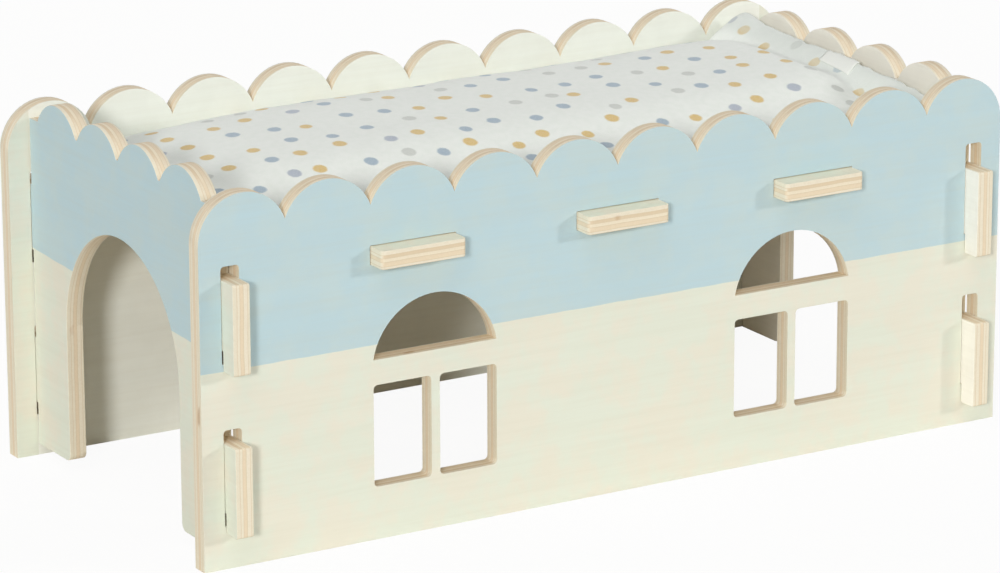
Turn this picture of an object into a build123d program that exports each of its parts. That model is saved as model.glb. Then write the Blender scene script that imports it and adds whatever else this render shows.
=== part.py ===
from build123d import *
from math import cos, floor, pi, sqrt
import os

# Guinea pig house of slotted plywood: two long walls, two end walls that hook into them,
# a roof deck on through tabs and a padded mat lying on the deck. Millimetres, +Z up,
# +X along the house, origin on the floor under its middle, the front facing -Y.

# Plywood, and the play that its joints are cut with
ply = 9.0
joint_play = 0.4

# Long walls, front and back
wall_length = 450.0
wall_scallops = 10
wall_scallop_rise = 15.65
wall_valley_height = 163.5
inner_width = 189.0

# Windows in the long walls
window_spacing = 202.0
window_width = 67.0
mullion_width = 4.6
pane_bottom = 26.0
pane_height = 50.0
pane_corner = 2.2
lintel_height = 12.3
arch_rise = 28.0

# Hooks of the end walls, and the upright slots that take them
hook_slot_inset = 11.2
hook_slot_corner = 1.8
hook_side_play = 0.3
hook_entry_play = 2.8
hook_seat_play = 0.3
hook_height = 43.6
hook_drop = 9.8
hook_reach = 10.8
hook_corner = 1.2
lower_slot_bottom = 20.9
upper_slot_bottom = 99.1

# End walls: the right one is seated, the left one is stuck part of the way up its slots
end_side_play = 0.7
end_scallop_pitch = 43.0
end_scallop_rise = 14.0
end_valley_rise = 0.9
end_shoulder_rise = 2.0
door_width = 118.0
door_apex_height = 128.0
foot_corner = 4.0
left_end_raised = 6.0

# Roof deck on its through tabs
deck_underside = 134.6
tab_width = 45.5
tab_spacing = 112.5
tab_reach = 10.5
tab_corner = 2.0

# Padded mat on the deck: cover, filling and a blank sewn label
mat_side_gap = 0.8
mat_underside_gap = 0.3
mat_front_height = 10.0
mat_back_height = 16.0
mat_crown = 13.5
mat_side_bulge = 3.0
mat_seam_height = 3.6
mat_left_rounding = 45.0
mat_right_rounding = 10.0
mat_end_narrowing = 9.0
mat_end_foot = 2.0
mat_end_droop = 5.0
mat_upturn_run = 40.0
mat_upturn_front = 22.5
mat_upturn_back = 27.0
mat_upturn_crown = 1.0
end_fullness = 0.2
end_steps = 5
upturn_steps = 5
cover_thickness = 1.0
filling_gap = 0.3
label_length = 26.0
label_width = 10.0
label_thickness = 0.6
label_edge_inset = 4.0
label_off_centre = 8.0
label_gap = 0.2

# Sizes that follow from those above
tab_slot_corner = joint_play
wall_scallop_pitch = wall_length / wall_scallops
wall_top = wall_valley_height + wall_scallop_rise
end_valley_height = wall_valley_height + end_valley_rise
end_top = end_valley_height + end_scallop_rise
wall_outer_y = inner_width / 2 + ply
hook_slot_width = ply + 2 * hook_side_play
hook_slot_height = hook_height + hook_entry_play
hook_slot_x = wall_length / 2 - hook_slot_inset - hook_slot_width / 2
end_inner_x = hook_slot_x - ply / 2
end_half_width = inner_width / 2 - end_side_play
deck_top = deck_underside + ply
mat_bottom = deck_top + mat_underside_gap
mat_length = 2 * (end_inner_x - mat_side_gap)
mat_width = inner_width - 2 * mat_side_gap
mat_upturn_length = mat_upturn_run + mat_right_rounding

# Planes that the panels grow outward from
front_plane = Plane((0, -inner_width / 2, 0), x_dir=(1, 0, 0), z_dir=(0, -1, 0))
back_plane = Plane((0, inner_width / 2, 0), x_dir=(-1, 0, 0), z_dir=(0, 1, 0))
left_plane = Plane((-end_inner_x, 0, left_end_raised), x_dir=(0, -1, 0), z_dir=(-1, 0, 0))
right_plane = Plane((end_inner_x, 0, 0), x_dir=(0, 1, 0), z_dir=(1, 0, 0))
deck_plane = Plane((0, 0, deck_underside))


def upright(left, right, bottom, top):
    """Upright rectangle between two sides and two heights."""
    return Pos((left + right) / 2, (bottom + top) / 2) * Rectangle(right - left, top - bottom)


def cut_panel(plane, outline):
    """Panel of plywood that grows outward from a plane."""
    return extrude(plane * outline, ply)


def arc_radius(chord, rise):
    """Radius of the arc that rises so much over its chord."""
    return ((chord / 2) ** 2 + rise**2) / (2 * rise)


def window():
    """Two panes with a low arch over them, as one window."""
    pane_width = (window_width - mullion_width) / 2
    pane_x = (mullion_width + pane_width) / 2
    pane = RectangleRounded(pane_width, pane_height, pane_corner)
    panes = Pos(pane_x, pane_bottom + pane_height / 2) * pane
    panes += Pos(-pane_x, pane_bottom + pane_height / 2) * pane
    sill = pane_bottom + pane_height + lintel_height
    radius = arc_radius(window_width, arch_rise)
    arch = Pos(0, sill + arch_rise - radius) * Circle(radius)
    arch &= upright(-window_width, window_width, sill, sill + 2 * radius)
    return panes + arch


def long_wall_outline():
    """Scalloped wall with its windows, hook slots and tab slots."""
    pitch = wall_scallop_pitch
    radius = arc_radius(pitch, wall_scallop_rise)
    corner_radius = pitch + wall_scallop_rise - sqrt(2 * pitch * wall_scallop_rise)
    corner_x = wall_length / 2 - corner_radius
    outline = upright(-wall_length / 2, wall_length / 2, 0, wall_top - corner_radius)
    for side in (-1, 1):
        outline += Pos(side * corner_x, wall_top - corner_radius) * Circle(corner_radius)
    for i in range(1, wall_scallops - 1):
        x = (i + 0.5) * pitch - wall_length / 2
        outline += Pos(x, wall_top - radius) * Circle(radius)

    hook_slot = Rectangle(hook_slot_width, hook_slot_height)
    hook_slot = fillet(hook_slot.vertices().group_by(Axis.Y)[-1], hook_slot_corner)
    for side in (-1, 1):
        outline -= Pos(side * window_spacing / 2, 0) * window()
        for bottom in (lower_slot_bottom, upper_slot_bottom):
            outline -= Pos(side * hook_slot_x, bottom + hook_slot_height / 2) * hook_slot

    tab_slot = RectangleRounded(tab_width + 2 * joint_play, ply + joint_play, tab_slot_corner)
    for i in (-1, 0, 1):
        outline -= Pos(i * tab_spacing, deck_underside + (ply + joint_play) / 2) * tab_slot
    return outline


def hook(slot_bottom):
    """Neck that passes through a slot, and the leg that hangs outside the wall."""
    leg_start = wall_outer_y + joint_play
    leg_end = wall_outer_y + hook_reach
    leg_middle = (leg_start + leg_end) / 2
    bottom = slot_bottom + hook_seat_play
    top = bottom - hook_drop + hook_height
    leg = RectangleRounded(leg_end - leg_start, hook_height, hook_corner)
    neck = upright(end_half_width - ply, leg_middle, bottom, top)
    return neck + Pos(leg_middle, top - hook_height / 2) * leg


def end_wall_outline():
    """Scalloped end wall with its arched door and the hooks on both its sides."""
    shoulder_height = end_valley_height + end_shoulder_rise
    outline = upright(-end_half_width, end_half_width, 0, shoulder_height)
    pairs = floor(end_half_width / end_scallop_pitch)
    radius = arc_radius(end_scallop_pitch, end_scallop_rise)
    for i in range(-pairs, pairs):
        y = (i + 0.5) * end_scallop_pitch
        outline += Pos(y, end_top - radius) * Circle(radius)

    door_radius = door_width / 2
    spring_height = door_apex_height - door_radius
    outline -= upright(-door_radius, door_radius, 0, spring_height)
    outline -= Pos(0, spring_height) * Circle(door_radius)
    feet = outline.vertices().group_by(Axis.Y)[0].sort_by(Axis.X)
    outline = fillet(feet[1:3], foot_corner)

    for bottom in (lower_slot_bottom, upper_slot_bottom):
        outline += hook(bottom)
        outline += mirror(hook(bottom), Plane.YZ)
    return outline


def deck_outline():
    """Deck between the four walls, with three through tabs on each long side."""
    outline = Rectangle(2 * (end_inner_x - joint_play), inner_width - 2 * joint_play)
    for i in (-1, 0, 1):
        tab = RectangleRounded(tab_width, 2 * (wall_outer_y + tab_reach), tab_corner)
        outline += Pos(i * tab_spacing, 0) * tab
    return outline


def mat_section(x, inset):
    """Cross-section of the mat at one place along it, drawn in by one thickness."""
    rounding = mat_left_rounding if x < 0 else mat_right_rounding
    to_end = min(mat_length / 2 - abs(x), rounding) / rounding
    fullness = max(sqrt(1 - (1 - to_end) ** 2), end_fullness)
    into_upturn = (x - mat_length / 2 + mat_upturn_length) / mat_upturn_run
    upturn = (1 - cos(pi * min(max(into_upturn, 0), 1))) / 2
    droop = mat_end_droop * (1 - fullness) + inset
    low = mat_bottom + mat_end_foot * (1 - fullness) + inset
    front = mat_bottom + mat_front_height - droop
    front += (mat_upturn_front - mat_front_height) * upturn
    back = mat_bottom + mat_back_height - droop
    back += (mat_upturn_back - mat_back_height) * upturn
    crown = (mat_crown + (mat_upturn_crown - mat_crown) * upturn) * fullness
    half = mat_width / 2 - mat_end_narrowing * (1 - fullness) - inset
    base = half - min(mat_side_bulge, (front - low) / 2)
    outline = Line((-base, low), (base, low))
    outline += ThreePointArc((base, low), (half, (low + back) / 2), (base, back))
    outline += ThreePointArc((base, back), (0, (front + back) / 2 + crown), (-base, front))
    outline += ThreePointArc((-base, front), (-half, (low + front) / 2), (-base, low))
    shift = inset if x < 0 else -inset
    plane = Plane((x + shift * (1 - to_end), 0, 0), x_dir=(0, 1, 0), z_dir=(1, 0, 0))
    return plane * make_face(outline)


def mat_form(inset):
    """Mat with rounded ends, turned up at its right end."""
    end = mat_length / 2
    rounding = [1 - cos(pi / 2 * i / end_steps) for i in range(end_steps + 1)]
    upturn = [mat_upturn_run * i / upturn_steps for i in range(upturn_steps)]
    places = [-end + mat_left_rounding * share for share in rounding]
    places += [end - mat_upturn_length + distance for distance in upturn]
    places += [end - mat_right_rounding * share for share in reversed(rounding)]
    return loft([mat_section(x, inset) for x in places], ruled=True)


def sewn_label():
    """Blank fabric label that lies on the turned-up lip of the mat."""
    x = mat_length / 2 - label_edge_inset - label_width / 2
    z = mat_bottom + (mat_upturn_front + mat_upturn_back) / 2 + mat_upturn_crown + label_gap
    label = Box(label_width, label_length, label_thickness)
    return Pos(x, -label_off_centre, z + label_thickness / 2) * label


wall_outline = long_wall_outline()
end_outline = end_wall_outline()
cover = mat_form(0) - mat_form(cover_thickness)
seam = Plane((0, 0, mat_bottom + mat_seam_height))

parts = {
    "front_wall": cut_panel(front_plane, wall_outline),
    "back_wall": cut_panel(back_plane, wall_outline),
    "left_end_wall": cut_panel(left_plane, end_outline),
    "right_end_wall": cut_panel(right_plane, end_outline),
    "roof_deck": cut_panel(deck_plane, deck_outline()),
    "mat_top_cover": split(cover, seam, Keep.TOP),
    "mat_under_cover": split(cover, seam, Keep.BOTTOM),
    "mat_filling": mat_form(cover_thickness + filling_gap),
    "mat_label": sewn_label(),
}

os.makedirs("parts", exist_ok=True)
for name, part in parts.items():
    export_step(part, f"parts/{name}.step")
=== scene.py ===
import bpy
import numpy as np
from math import pi, radians
from mathutils import Matrix, Vector, noise
from mathutils.bvhtree import BVHTree


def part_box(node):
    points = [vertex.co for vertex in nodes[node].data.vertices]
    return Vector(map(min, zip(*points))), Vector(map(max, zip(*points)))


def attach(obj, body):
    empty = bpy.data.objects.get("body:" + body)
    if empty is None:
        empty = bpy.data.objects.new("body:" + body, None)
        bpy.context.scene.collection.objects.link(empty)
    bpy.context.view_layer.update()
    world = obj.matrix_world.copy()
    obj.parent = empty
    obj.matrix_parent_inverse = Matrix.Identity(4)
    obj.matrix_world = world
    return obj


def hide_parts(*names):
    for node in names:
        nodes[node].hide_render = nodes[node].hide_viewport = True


# The looks of the guinea pig house: painted plywood panels with their plies showing at
# every sawn edge, a padded fleece mat and its blank label. Metres, +Z up.

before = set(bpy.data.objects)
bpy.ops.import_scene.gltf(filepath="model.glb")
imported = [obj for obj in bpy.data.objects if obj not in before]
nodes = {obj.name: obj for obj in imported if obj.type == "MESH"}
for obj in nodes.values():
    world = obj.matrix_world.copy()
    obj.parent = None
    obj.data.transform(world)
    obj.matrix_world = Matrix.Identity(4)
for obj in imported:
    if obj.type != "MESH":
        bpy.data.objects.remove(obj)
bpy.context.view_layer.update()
mm = 0.001

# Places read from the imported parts
front_low, front_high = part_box("front_wall")
deck_low, deck_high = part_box("roof_deck")
ply = front_high.y - front_low.y
long_wall_inner = -front_high.y
end_wall_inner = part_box("right_end_wall")[0].x
deck_bottom = deck_low.z
deck_top = deck_high.z
mat_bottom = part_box("mat_under_cover")[0].z

# Camera of the photograph
camera_place = Vector((-1.2196, -2.0264, 0.7732))
camera_turn = radians(30.97)
camera_tilt = radians(16.39)
camera_roll = radians(-0.18)
camera_lens = 178.69

# Light: direction towards each lamp, how bright it makes a white face, and its softness
lamps = {
    "key": ((0.72, -0.63, 0.3), 0.225, radians(7)),
    "left": ((-0.64, -0.715, 0.28), 0.49, radians(10)),
    "top": ((-0.45, -0.25, 1.0), 0.235, radians(50)),
    "back": ((0.4, 0.85, 0.3), 0.18, radians(40)),
}
world_light = 0.24
floor_glow = 0.94
floor_tone = (246, 244, 238)

# Paint and the panels' eased edges
paint_line = 95.8 * mm
left_paint_line = 103.9 * mm
left_paint_slope = 0.03
paint_wobble = 0.9 * mm
paint_blur = 0.18 * mm
paint_side_blur = 0.1 * mm
face_film = 0.14 * mm
edge_ease = 0.4 * mm
everywhere = 1.0

# Colours of the wood from 0 to 255: washes inside and outside, and paint
inner_wash = (243, 245, 235)
# Inner wash made lighter for the right end wall's inner face: painted light
right_inner_painted_light = (250, 246, 235)
outer_wash = (230, 231, 215)
deck_wash = (234, 230, 208)
deck_underside = (232, 198, 142)
blue_paint = ((189, 214, 221), (194, 215, 218))

# Five plies from the inner face out: where each ends, as a share of the board, and its colour
# where the edge is sawn along its grain and where it is sawn across it
ply_ends = (0.0, 0.16, 0.40, 0.60, 0.77, 1.0)
ply_blur = 0.02
pale_ply = (240, 230, 209)
light_ply = (242, 229, 205)
warm_ply = (236, 218, 189)
brown_ply = (227, 207, 176)
beige_ply = (237, 228, 206)
side_plies = (pale_ply, warm_ply, light_ply, brown_ply, pale_ply)
end_plies = (beige_ply, pale_ply, warm_ply, pale_ply, beige_ply)
glue_tone = (224, 205, 173)
fibre_tone = (206, 178, 134)
fibre_waves = 1400.0
knot_tone = (190, 148, 104)
knot_waves = 62.0

# Clouds and grain of the faces: colours, and waves per metre, for grain across and along it
cloud_waves = 55.0
grain_tone = (196, 186, 158)
grain_waves = (420.0, 14.0)
figure_tone = (206, 192, 160)
figure_waves = (90.0, 7.0)

# Mat
grid_step = 3.0 * mm
left_rounding = 12.0 * mm
right_rounding = 4.0 * mm
front_rounding = 7.0 * mm
back_rounding = 8.0 * mm
corner_pull = 4.5 * mm
mat_play = 1.6 * mm
mat_top = 167.4 * mm
low_face_rise = 0.6 * mm
seam_rise = 4.0 * mm
least_swell = 1.0 * mm
sim_frames = 20
sim_reach = 2.4 * mm
wall_touch = 0.25 * mm
deck_touch = 0.15 * mm
label_from_edge = 3.2 * mm
label_run = 7.4 * mm
label_low_y = -21.5 * mm
label_length = 26.0 * mm
label_lift = 0.35 * mm
label_thickness = 0.35 * mm
label_tones = ((246, 247, 241), (240, 242, 235))
warp_pitch = 0.5 * mm
weft_pitch = 0.4 * mm

# Form of the mat in millimetres: how far its top falls at places from front to back and from
# left to right, then the width of the turned-up end's fold, its crest above the floor and the
# depth of the crease before it, each at places from front to back
fall_across = [(-94, -16.5), (-80, -15.6), (-65, -14.6), (-50, -12.7), (-40, -9.8), (-30, -6.2),
               (-20, -3.3), (-5, -1.6), (10, -1.1), (25, -0.3), (40, 0), (55, -0.1), (70, -2.5),
               (82, -6.5), (94, -9.6)]
fall_along = [(-204, -15), (-190, -10.5), (-175, -7), (-155, -4.5), (-130, -2), (-100, -0.6),
              (-60, 0), (0, 0), (100, 0.4), (140, 1.8), (180, 2.4), (204, 2.4)]
fold_width = [(-94, 14), (-45, 16), (-8, 17), (8, 18), (38, 20), (62, 23), (78, 29), (94, 37)]
crest_height = [(-94, 166), (-62, 168.5), (-40, 168.8), (-20, 170), (0, 170.6), (20, 170.8),
                (35, 171), (52, 171.6), (64, 172.6), (76, 175.2), (86, 175.5), (94, 173.5)]
crease_depth = [(-94, 0), (-60, 1), (-30, 3.5), (0, 6), (50, 6.5), (78, 3.5), (94, 0)]
crease_run = 18.0 * mm
crest_from_wall = 5.0 * mm
fold_roundness = 1.6
fold_wander = 0.6 * mm
fold_wander_run = 9 * mm
profile_steps = 400
profile_blur = 9.0

# Unevenness of the mat: height, size and seed of its broad and small lumps and its lip's folds
broad_lumps = (0.7 * mm, 46 * mm, 3.0)
small_lumps = (0.45 * mm, 19 * mm, 8.0)
lip_folds = (0.8 * mm, 7 * mm, 21.0)

# Print of the cloth: each ink with the share of the dots at which it starts
dot_inks = [(0.0, (224, 190, 110)), (0.40, (160, 180, 196)), (0.66, (176, 184, 198)),
            (0.76, (210, 213, 206))]
cloth_tones = ((246, 249, 243), (242, 246, 239))
# Greyer tone of the painted shade on the turned-up end
lip_shade_tone = (222, 228, 221)
dot_spacing = 20.5 * mm
dot_radius = 3.45 * mm
dot_range = 0.5 * mm
dot_spread = 0.55
# Where along the cloth the painted shade of the turned-up end comes in
lip_shade_from = 181.0 * mm
lip_shade_to = 189.0 * mm
low_face_shift = 1.0


def srgb(red, green, blue):
    """Linear colour of an sRGB colour in numbers up to 255."""
    parts = [value / 255 for value in (red, green, blue)]
    parts = [p / 12.92 if p <= 0.04045 else ((p + 0.055) / 1.055) ** 2.4 for p in parts]
    return (*parts, 1.0)


class Finish:
    """A procedural material that is put together from small steps."""

    def __init__(self, name, roughness):
        self.material = bpy.data.materials.new(name)
        self.material.use_nodes = True
        self.tree = self.material.node_tree
        self.shader = self.tree.nodes["Principled BSDF"]
        self.shader.inputs["Roughness"].default_value = roughness

    def feed(self, socket, value):
        """A socket takes a plain value or another node's output."""
        if isinstance(value, bpy.types.NodeSocket):
            self.tree.links.new(value, socket)
        else:
            socket.default_value = value

    def add(self, kind, inputs, **settings):
        """New node with its settings and inputs."""
        node = self.tree.nodes.new(kind)
        for key, value in settings.items():
            setattr(node, key, value)
        for key, value in inputs.items():
            self.feed(node.inputs[key], value)
        return node

    def math(self, operation, *values):
        """One sum on numbers."""
        inputs = dict(enumerate(values))
        return self.add("ShaderNodeMath", inputs, operation=operation).outputs[0]

    def place(self, x, y, z):
        """Vector of three numbers."""
        return self.add("ShaderNodeCombineXYZ", {0: x, 1: y, 2: z}).outputs[0]

    def split(self, vector):
        """The three numbers of a vector."""
        return self.add("ShaderNodeSeparateXYZ", {0: vector}).outputs

    def stretch(self, vector, scale):
        """Vector with each part scaled."""
        inputs = {0: vector, 1: scale}
        return self.add("ShaderNodeVectorMath", inputs, operation="MULTIPLY").outputs[0]

    def noise(self, vector, scale, detail=2.0, roughness=0.5):
        """Soft noise from 0 to 1."""
        inputs = {"Vector": vector, "Scale": scale, "Detail": detail, "Roughness": roughness}
        return self.add("ShaderNodeTexNoise", inputs).outputs[0]

    def step(self, value, low, high, start=0.0, end=1.0):
        """Smooth step from start to end as a value goes from low to high."""
        inputs = {"Value": value, "From Min": low, "From Max": high, "To Min": start, "To Max": end}
        return self.add("ShaderNodeMapRange", inputs, interpolation_type="SMOOTHSTEP").outputs[0]

    def mix(self, share, first, second):
        """Two colours mixed."""
        inputs = {0: share, 6: first, 7: second}
        return self.add("ShaderNodeMix", inputs, data_type="RGBA").outputs[2]

    def ramp(self, value, stops):
        """Colour that follows a value through some stops."""
        node = self.add("ShaderNodeValToRGB", {0: value})
        elements = node.color_ramp.elements
        while len(elements) < len(stops):
            elements.new(0.5)
        for element, (position, colour) in zip(elements, stops):
            element.position = position
            element.color = colour
        return node.outputs[0]

    def bump(self, height, strength, distance):
        """Fine relief on the shader's normal."""
        inputs = {"Height": height, "Strength": strength, "Distance": distance}
        normal = self.add("ShaderNodeBump", inputs).outputs[0]
        self.feed(self.shader.inputs["Normal"], normal)


def ply_stops(tones):
    """Stops of a ramp over five plies, from the inner face out, with a glue line between."""
    stops = []
    for i, tone in enumerate(tones):
        stops.append((ply_ends[i] + ply_blur, srgb(*tone)))
        stops.append((ply_ends[i + 1] - 2 * ply_blur, srgb(*tone)))
        if i < len(tones) - 1:
            stops.append((ply_ends[i + 1] - ply_blur / 2, srgb(*glue_tone)))
    return stops


def drawn_out(finish, place, waves, grain_axis, detail, roughness):
    """Noise that is drawn out along the grain."""
    across, along = waves
    scale = [across] * 3
    scale[grain_axis] = along
    return finish.noise(finish.stretch(place, scale), 1.0, detail, roughness)


def paint_cover(finish, place, axes, line, line_slope, paint_edge):
    """Where the paint is: above its line, and from the middle out to its edge."""
    wobble = finish.noise(place, 90.0, 2.0)
    wobble = finish.math("MULTIPLY_ADD", wobble, paint_wobble, line - paint_wobble / 2)
    line_height = finish.math("MULTIPLY_ADD", axes[1], line_slope, wobble)
    above = finish.math("SUBTRACT", axes[2], line_height)
    from_middle = finish.math("ABSOLUTE", axes[1])
    beside = finish.step(from_middle, paint_edge, paint_edge + paint_side_blur, 1.0, 0.0)
    return finish.math("MULTIPLY", finish.step(above, -paint_blur, paint_blur), beside)


def sawn_edge(finish, place, share, turn, fibres):
    """Sawn edge: plies that show side grain one way and end grain the other way, and knots."""
    wavy = finish.math("MULTIPLY_ADD", finish.noise(place, 45.0, 2.0), 0.10, -0.05)
    wavy = finish.math("ADD", share, wavy)
    side = finish.ramp(wavy, ply_stops(side_plies))
    end = finish.ramp(wavy, ply_stops(end_plies))
    edge = finish.mix(finish.step(turn, 0.35, 0.9), side, end)
    edge = finish.mix(finish.math("MULTIPLY", fibres, 0.10), edge, srgb(*fibre_tone))
    knots = finish.step(finish.noise(place, knot_waves, 2.0), 0.66, 0.76)
    from_core = finish.math("ABSOLUTE", finish.math("SUBTRACT", share, 0.7))
    knots = finish.math("MULTIPLY", knots, finish.step(from_core, 0.08, 0.18, 1.0, 0.0))
    return finish.mix(finish.math("MULTIPLY", knots, 0.6), edge, srgb(*knot_tone))


def plywood(name, depth_axis, depth_start, grain_axis, line=None, line_slope=0.0,
            paint_edge=everywhere, inner_edge=everywhere, inner_face=inner_wash, wash=outer_wash):
    """Five-ply board: whitewashed faces, blue above a paint line, and bare sawn edges.

    The paint reaches from the middle out to paint_edge, and the inner wash out to inner_edge.
    """
    finish = Finish(name, 0.62)
    place = finish.add("ShaderNodeTexCoord", {}).outputs["Object"]
    axes = finish.split(place)
    normal = finish.split(finish.add("ShaderNodeNewGeometry", {}).outputs["True Normal"])
    depth = axes[depth_axis]
    if depth_axis < 2:
        depth = finish.math("ABSOLUTE", depth)
    depth = finish.math("SUBTRACT", depth, depth_start)

    # Soft clouds in the wash, the veneer's grain along the board and the sawn fibres
    clouds = finish.noise(place, cloud_waves, 3.0, 0.6)
    grain = drawn_out(finish, place, grain_waves, grain_axis, 5.0, 0.65)
    figure = drawn_out(finish, place, figure_waves, grain_axis, 3.0, 0.55)
    fibres = finish.step(finish.noise(place, fibre_waves, 2.0), 0.35, 0.7)

    # Inner and outer face
    tint = finish.step(clouds, 0.36, 0.66)
    cream = finish.mix(tint, srgb(wash[0] - 2, wash[1] + 1, wash[2] + 1),
                       srgb(wash[0] + 3, wash[1] - 2, wash[2] - 3))
    inner = finish.mix(tint, srgb(*inner_face), srgb(*(c - 3 for c in inner_face)))
    past_end = finish.math("GREATER_THAN", finish.math("ABSOLUTE", axes[0]), inner_edge)
    inner = finish.mix(past_end, inner, cream)
    outer = cream
    if line is not None:
        blue = finish.mix(tint, srgb(*blue_paint[0]), srgb(*blue_paint[1]))
        cover = paint_cover(finish, place, axes, line, line_slope, paint_edge)
        outer = finish.mix(cover, cream, blue)

    # Faces carry a thin film of wash or paint, worn off at the eased edges
    worn = finish.math("MULTIPLY_ADD", clouds, 0.5, 0.75)
    film = finish.math("MULTIPLY", worn, face_film)
    on_inner = finish.math("LESS_THAN", depth, film)
    on_outer = finish.math("GREATER_THAN", depth, finish.math("SUBTRACT", ply, film))
    share = finish.math("DIVIDE", depth, ply)
    turn = finish.math("ABSOLUTE", normal[grain_axis])
    colour = finish.mix(on_inner, sawn_edge(finish, place, share, turn, fibres), inner)
    colour = finish.mix(on_outer, colour, outer)

    # Grain over faces and edges alike
    on_face = finish.math("MAXIMUM", on_inner, on_outer)
    lines = finish.step(grain, 0.35, 0.75)
    strength = finish.math("MULTIPLY_ADD", on_face, -0.02, 0.10)
    colour = finish.mix(finish.math("MULTIPLY", lines, strength), colour, srgb(*grain_tone))
    shade = finish.step(figure, 0.3, 0.75)
    colour = finish.mix(finish.math("MULTIPLY", shade, 0.05), colour, srgb(*figure_tone))
    finish.feed(finish.shader.inputs["Base Color"], colour)
    rough = finish.math("MULTIPLY_ADD", on_face, -0.18, 0.80)
    rough = finish.math("MULTIPLY_ADD", clouds, 0.10, rough)
    finish.feed(finish.shader.inputs["Roughness"], rough)
    relief = finish.math("ADD", finish.math("MULTIPLY", lines, 0.6), finish.math("MULTIPLY", fibres, 0.4))
    finish.bump(relief, 0.16, 0.12 * mm)
    return finish.material


def fleece():
    """Short off-white fleece printed with scattered dots."""
    finish = Finish("dotted_fleece_looks", 0.92)
    cloth = finish.add("ShaderNodeUVMap", {}, uv_map="cloth").outputs[0]
    fuzz = finish.noise(cloth, 900.0, 3.0, 0.7)
    drift = finish.noise(cloth, 260.0, 2.0)

    # Each dot sits in its own cell, a little off its middle
    shift = finish.place(finish.math("SUBTRACT", drift, 0.5), finish.math("SUBTRACT", fuzz, 0.5), 0.0)
    uneven = finish.stretch(shift, (1.3 * mm, 1.0 * mm, 0.0))
    spot = finish.add("ShaderNodeVectorMath", {0: cloth, 1: uneven}, operation="ADD").outputs[0]
    inputs = {"Vector": spot, "Scale": 1 / dot_spacing, "Randomness": dot_spread}
    cells = finish.add("ShaderNodeTexVoronoi", inputs, voronoi_dimensions="2D", feature="F1")
    reach = finish.math("MULTIPLY", cells.outputs["Distance"], dot_spacing)
    pick = finish.split(cells.outputs["Color"])
    size = finish.math("MULTIPLY_ADD", pick[1], dot_range, dot_radius - dot_range / 2)
    away = finish.math("SUBTRACT", reach, size)
    inside = finish.step(away, -0.7 * mm, 0.6 * mm, 1.0, 0.0)
    inks = finish.ramp(pick[0], [(start, srgb(*ink)) for start, ink in dot_inks])
    inks.node.color_ramp.interpolation = "CONSTANT"
    thin = finish.step(fuzz, 0.25, 0.75, 0.98, 0.80)
    ground = finish.mix(finish.step(drift, 0.3, 0.7), *(srgb(*tone) for tone in cloth_tones))
    colour = finish.mix(finish.math("MULTIPLY", inside, thin), ground, inks)

    # The turned-up end's upper face is mixed towards a greyer tone: painted shade, which also fades its
    # print
    along = finish.split(cloth)[0]
    upper = finish.math("LESS_THAN", along, low_face_shift / 2)
    turned = finish.math("MULTIPLY", finish.step(along, lip_shade_from, lip_shade_to), upper)
    colour = finish.mix(finish.math("MULTIPLY", turned, 0.5), colour, srgb(*lip_shade_tone))
    finish.feed(finish.shader.inputs["Base Color"], colour)
    finish.shader.inputs["Sheen Weight"].default_value = 0.25
    finish.shader.inputs["Sheen Roughness"].default_value = 0.6
    finish.shader.inputs["Specular IOR Level"].default_value = 0.2
    relief = finish.math("ADD", fuzz, finish.math("MULTIPLY", drift, 0.5))
    finish.bump(relief, 0.35, 0.5 * mm)
    return finish.material


def tape():
    """Blank woven tape of the sewn label."""
    finish = Finish("label_tape_looks", 0.7)
    place = finish.add("ShaderNodeTexCoord", {}).outputs["Object"]
    axes = finish.split(place)
    warp = finish.math("SINE", finish.math("MULTIPLY", axes[0], 2 * pi / warp_pitch))
    weft = finish.math("SINE", finish.math("MULTIPLY", axes[1], 2 * pi / weft_pitch))
    weave = finish.math("MULTIPLY", warp, weft)
    colour = finish.mix(finish.step(weave, -1.0, 1.0), *(srgb(*tone) for tone in label_tones))
    finish.feed(finish.shader.inputs["Base Color"], colour)
    finish.bump(weave, 0.25, 0.08 * mm)
    return finish.material


def ease_edges(panel):
    """Sanded edges of a sawn panel."""
    weld = panel.modifiers.new("weld", "WELD")
    weld.merge_threshold = 0.01 * mm
    flat = panel.modifiers.new("flat faces", "DECIMATE")
    flat.decimate_type = "DISSOLVE"
    flat.angle_limit = radians(0.8)
    bevel = panel.modifiers.new("eased edges", "BEVEL")
    bevel.width = edge_ease
    bevel.segments = 2
    bevel.limit_method = "ANGLE"
    bevel.angle_limit = radians(40)
    bevel.harden_normals = True


def paint_panels():
    """Finish on every wooden node."""
    walls = plywood("long_wall_plywood", 1, long_wall_inner, 0, paint_line,
                    inner_edge=end_wall_inner + ply)
    left = plywood("left_end_plywood", 0, end_wall_inner, 1, left_paint_line, left_paint_slope,
                   paint_edge=long_wall_inner)
    # The right end wall's inner face takes the lighter wash: painted light
    right = plywood("right_end_plywood", 0, end_wall_inner, 1, paint_line,
                    paint_edge=long_wall_inner, inner_face=right_inner_painted_light)
    deck = plywood("deck_plywood", 2, deck_bottom, 0, inner_face=deck_underside, wash=deck_wash)
    finishes = {"front_wall": walls, "back_wall": walls, "left_end_wall": left,
                "right_end_wall": right, "roof_deck": deck}
    for name, material in finishes.items():
        nodes[name].material_slots[0].material = material
        ease_edges(nodes[name])


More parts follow.
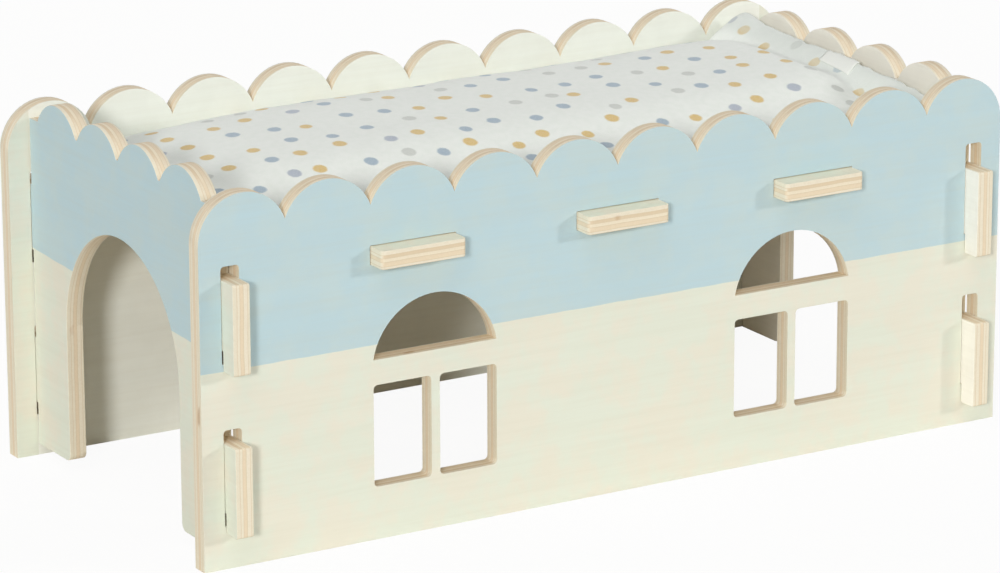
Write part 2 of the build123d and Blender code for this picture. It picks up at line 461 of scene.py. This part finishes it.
def rounded_run(low, high, low_radius, high_radius):
    """Places across a pillow from side to side, with how full it is at each."""
    runs = []
    for radius in (low_radius, high_radius):
        angles = np.linspace(0, pi / 2, max(round(pi / 2 * radius / grid_step), 3) + 1)[:-1]
        runs.append((radius * (1 - np.cos(angles)), np.sin(angles)))
    (low_in, low_full), (high_in, high_full) = runs
    steps = round((high - high_radius - low - low_radius) / grid_step)
    plain = np.linspace(low + low_radius, high - high_radius, steps + 1)
    places = np.concatenate([low + low_in, plain, high - high_in[::-1]])
    return places, np.concatenate([low_full, np.ones(steps + 1), high_full[::-1]])


def smooth(value, low, high):
    """Smooth step from 0 to 1."""
    share = np.clip((value - low) / (high - low), 0, 1)
    return share * share * (3 - 2 * share)


def lumps(x, y, height, size, seed):
    """Soft unevenness, from about minus its height to its height."""
    places = zip(x.ravel(), y.ravel())
    flat = [noise.noise(Vector((px / size, py / size, seed))) for px, py in places]
    return height * np.array(flat).reshape(x.shape)


def profile(values, form):
    """Heights in metres that follow a form's places and heights in millimetres, smoothed."""
    places, heights = zip(*form)
    fine = np.linspace(places[0], places[-1], profile_steps)
    raw = np.interp(fine, places, heights)
    width = max(round(profile_steps * profile_blur / (places[-1] - places[0])), 1)
    padded = np.pad(raw, width, mode="reflect", reflect_type="odd")
    kernel = np.hanning(2 * width + 1)
    soft = np.convolve(padded, kernel / kernel.sum(), mode="valid")
    return np.interp(values / mm, fine, soft) * mm


def turned_up(x, y, top):
    """The right end of the mat lies turned up against its wall, with a crease along the fold."""
    fold = profile(y, fold_width) + fold_wander * np.sin(y / fold_wander_run)
    from_wall = end_wall_inner - x
    share = np.clip((fold - from_wall) / (fold - crest_from_wall), 0, 1)
    rise = 1 - (1 - share) ** fold_roundness
    folds = lumps(x, y, *lip_folds) * np.minimum(share * 2, 1)
    low = top - profile(y, crease_depth) * (1 - smooth(from_wall - fold, 0, crease_run))
    return low + rise * (profile(y, crest_height) - low) + folds


def mat_shape():
    """Upper and lower face of the mat as two grids of points with a shared border."""
    half_x = end_wall_inner - mat_play
    half_y = long_wall_inner - mat_play
    xs, full_x = rounded_run(-half_x, half_x, left_rounding, right_rounding)
    ys, full_y = rounded_run(-half_y, half_y, front_rounding, back_rounding)
    x, y = np.meshgrid(xs, ys, indexing="ij")
    full = np.outer(full_x, full_y)
    pull = np.outer(1 - full_x, 1 - full_y) * corner_pull
    uneven = lumps(x, y, *broad_lumps) + lumps(x, y, *small_lumps)
    bottom = mat_bottom + low_face_rise
    seam = bottom + seam_rise
    crown = mat_top + profile(y, fall_across)
    at_end = profile(x, fall_along) * (crown - seam) / (mat_top - seam)
    top = turned_up(x, y, crown + at_end + uneven)
    x = x - np.sign(x) * pull
    y = y - np.sign(y) * pull
    upper = np.stack([x, y, seam + full * np.maximum(top - seam, least_swell)], axis=-1)
    lower = np.stack([x, y, seam + full * (bottom - seam)], axis=-1)
    return upper, lower


def grid_mesh(name, upper, lower):
    """Closed mesh of two grids, and the vertex of each grid point."""
    rows, columns = upper.shape[:2]
    top_index = np.arange(rows * columns).reshape(rows, columns)
    low_index = top_index.copy()
    inner = (rows - 2) * (columns - 2)
    low_index[1:-1, 1:-1] = rows * columns + np.arange(inner).reshape(rows - 2, columns - 2)
    points = np.concatenate([upper.reshape(-1, 3), lower[1:-1, 1:-1].reshape(-1, 3)])
    faces = []
    for index, turned in ((top_index, False), (low_index, True)):
        ring = [index[:-1, :-1], index[1:, :-1], index[1:, 1:], index[:-1, 1:]]
        if turned:
            ring.reverse()
        faces.append(np.stack([corner.ravel() for corner in ring], axis=-1))
    mesh = bpy.data.meshes.new(name)
    mesh.from_pydata(points.tolist(), [], np.concatenate(faces).tolist())
    mesh.shade_smooth()
    return mesh, top_index, low_index


def mesh_points(mesh):
    """Vertex places as an array."""
    flat = np.zeros(len(mesh.vertices) * 3)
    mesh.vertices.foreach_get("co", flat)
    return flat.reshape(-1, 3)


def set_mesh_points(mesh, points):
    """Vertex places from an array."""
    mesh.vertices.foreach_set("co", points.ravel())
    mesh.update()


def inflate(piece):
    """Cloth under a little pressure, run for a few frames and applied."""
    scene = bpy.context.scene
    start = mesh_points(piece.data)
    cloth = piece.modifiers.new("Cloth", "CLOTH")
    settings = cloth.settings
    settings.quality = 5
    settings.mass = 0.15
    settings.tension_stiffness = 18
    settings.compression_stiffness = 12
    settings.bending_stiffness = 0.4
    settings.use_pressure = True
    settings.uniform_pressure_force = 4.0
    settings.effector_weights.gravity = 0
    cloth.point_cache.frame_end = sim_frames
    for number in range(1, sim_frames + 1):
        scene.frame_set(number)
    graph = bpy.context.evaluated_depsgraph_get()
    done = piece.evaluated_get(graph)
    moved = mesh_points(done.to_mesh()) - start
    done.to_mesh_clear()
    piece.modifiers.remove(cloth)
    scene.frame_set(1)
    length = np.linalg.norm(moved, axis=1, keepdims=True)
    cap = np.minimum(1, sim_reach / np.maximum(length, 1e-9))
    set_mesh_points(piece.data, start + moved * cap)


def settle(mesh):
    """The mat lies flat on the deck and presses on the walls round it."""
    points = mesh_points(mesh)
    wall_x = end_wall_inner - wall_touch
    wall_y = long_wall_inner - wall_touch
    points[:, 0] = np.clip(points[:, 0], -wall_x, wall_x)
    points[:, 1] = np.clip(points[:, 1], -wall_y, wall_y)
    points[:, 2] = np.maximum(points[:, 2], deck_top + deck_touch)
    set_mesh_points(mesh, points)


def lay_print(mesh, top_index, low_index):
    """UV map of the flat cloth, measured along both faces, so that the print isn't stretched."""
    points = mesh_points(mesh)
    flat = np.zeros((len(mesh.vertices), 2))
    layers = {}
    for side, index in (("top", top_index), ("low", low_index)):
        grid = points[index]
        steps = np.linalg.norm(np.diff(grid, axis=0), axis=-1)
        along = np.concatenate([np.zeros((1, grid.shape[1])), np.cumsum(steps, axis=0)])
        steps = np.linalg.norm(np.diff(grid, axis=1), axis=-1)
        across = np.concatenate([np.zeros((grid.shape[0], 1)), np.cumsum(steps, axis=1)], axis=1)
        along -= along[along.shape[0] // 2]
        across -= across[:, across.shape[1] // 2][:, None]
        flat[index.ravel()] = np.stack([along.ravel(), across.ravel()], axis=-1)
        layers[side] = flat.copy()
    corners = np.zeros(len(mesh.loops), dtype=np.int32)
    mesh.loops.foreach_get("vertex_index", corners)
    split_at = 4 * (top_index.shape[0] - 1) * (top_index.shape[1] - 1)
    uv = layers["top"][corners]
    uv[split_at:] = layers["low"][corners[split_at:]] + low_face_shift
    layer = mesh.uv_layers.new(name="cloth")
    layer.data.foreach_set("uv", uv.ravel())


def make_mat():
    """Padded mat in place of its plain solids."""
    upper, lower = mat_shape()
    mesh, top_index, low_index = grid_mesh("mat", upper, lower)
    mat = bpy.data.objects.new("mat", mesh)
    bpy.context.scene.collection.objects.link(mat)
    inflate(mat)
    settle(mesh)
    lay_print(mesh, top_index, low_index)
    mesh.materials.append(fleece())
    rounder = mat.modifiers.new("rounder", "SUBSURF")
    rounder.levels = 1
    rounder.render_levels = 1
    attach(mat, "mat")
    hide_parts("mat_top_cover", "mat_under_cover", "mat_filling")
    return mat


def make_label(mat):
    """Blank tape label, sewn to the turned-up end and lying on it."""
    tree = BVHTree.FromPolygons([v.co for v in mat.data.vertices],
                                [tuple(p.vertices) for p in mat.data.polygons])
    beside = [v.co.x for v in mat.data.vertices
              if label_low_y < v.co.y < label_low_y + label_length and v.co.x > 0]
    outer_x = max(beside) - label_from_edge
    rows, columns = 8, 16
    points = []
    for i in range(rows + 1):
        x = outer_x - label_run * (1 - i / rows)
        for j in range(columns + 1):
            y = label_low_y + label_length * j / columns
            place, normal, _, _ = tree.ray_cast(Vector((x, y, 1.0)), Vector((0, 0, -1)))
            points.append(place + normal * label_lift)
    step = columns + 1
    faces = [(k, k + step, k + step + 1, k + 1)
             for i in range(rows) for k in range(i * step, i * step + columns)]
    mesh = bpy.data.meshes.new("label")
    mesh.from_pydata(points, [], faces)
    mesh.shade_smooth()
    mesh.materials.append(tape())
    label = bpy.data.objects.new("label", mesh)
    bpy.context.scene.collection.objects.link(label)
    body = label.modifiers.new("thickness", "SOLIDIFY")
    body.thickness = label_thickness
    body.offset = 0
    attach(label, "mat")
    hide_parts("mat_label")


def make_stage():
    """Plain pale floor that looks white to the camera and still takes the soft shadow."""
    mesh = bpy.data.meshes.new("floor")
    side = 6.0
    corners = [(-side, -side, 0), (side, -side, 0), (side, side, 0), (-side, side, 0)]
    mesh.from_pydata(corners, [], [(0, 1, 2, 3)])
    floor = bpy.data.objects.new("floor", mesh)
    bpy.context.scene.collection.objects.link(floor)
    finish = Finish("floor_looks", 0.9)
    finish.shader.inputs["Base Color"].default_value = srgb(*floor_tone)
    finish.shader.inputs["Specular IOR Level"].default_value = 0.0
    light = finish.add("ShaderNodeEmission", {"Color": (1, 1, 1, 1), "Strength": 1.0})
    seen = finish.add("ShaderNodeLightPath", {}).outputs["Is Camera Ray"]
    share = finish.math("MULTIPLY", seen, floor_glow)
    inputs = {0: share, 1: finish.shader.outputs[0], 2: light.outputs[0]}
    both = finish.add("ShaderNodeMixShader", inputs)
    output = finish.tree.nodes["Material Output"]
    finish.tree.links.new(both.outputs[0], output.inputs["Surface"])
    mesh.materials.append(finish.material)


def make_world():
    """Even white surroundings: bright to the camera, gentler as light on the house."""
    world = bpy.data.worlds.new("studio")
    world.use_nodes = True
    bpy.context.scene.world = world
    tree = world.node_tree
    back = tree.nodes["Background"]
    back.inputs["Color"].default_value = (1, 1, 1, 1)
    path = tree.nodes.new("ShaderNodeLightPath")
    seen = tree.nodes.new("ShaderNodeMath")
    seen.operation = "MAXIMUM"
    tree.links.new(path.outputs["Is Camera Ray"], seen.inputs[0])
    tree.links.new(path.outputs["Is Glossy Ray"], seen.inputs[1])
    level = tree.nodes.new("ShaderNodeMapRange")
    level.inputs["To Min"].default_value = world_light
    level.inputs["To Max"].default_value = 1.0
    tree.links.new(seen.outputs[0], level.inputs["Value"])
    tree.links.new(level.outputs[0], back.inputs["Strength"])


def soft_sun(name, towards, level, softness):
    """Wide far light: a white face square to it gets this level."""
    data = bpy.data.lights.new(name, "SUN")
    data.energy = level * pi
    data.angle = softness
    lamp = bpy.data.objects.new(name, data)
    bpy.context.scene.collection.objects.link(lamp)
    lamp.rotation_euler = Vector(towards).to_track_quat("Z", "Y").to_euler()


def make_camera():
    """Camera at the photograph's place and angle."""
    data = bpy.data.cameras.new("camera")
    data.sensor_fit = "HORIZONTAL"
    data.sensor_width = 36
    data.lens = camera_lens
    data.clip_end = 50
    camera = bpy.data.objects.new("camera", data)
    bpy.context.scene.collection.objects.link(camera)
    turn = Matrix.Rotation(-camera_turn, 4, "Z")
    tilt = Matrix.Rotation(pi / 2 - camera_tilt, 4, "X")
    roll = Matrix.Rotation(camera_roll, 4, "Z")
    camera.matrix_world = Matrix.Translation(camera_place) @ turn @ tilt @ roll
    bpy.context.scene.camera = camera


make_camera()
make_world()
make_stage()
for lamp_name, (towards, level, softness) in lamps.items():
    soft_sun(lamp_name, towards, level, softness)
paint_panels()
make_label(make_mat())
bpy.context.scene.view_settings.view_transform = "Standard"
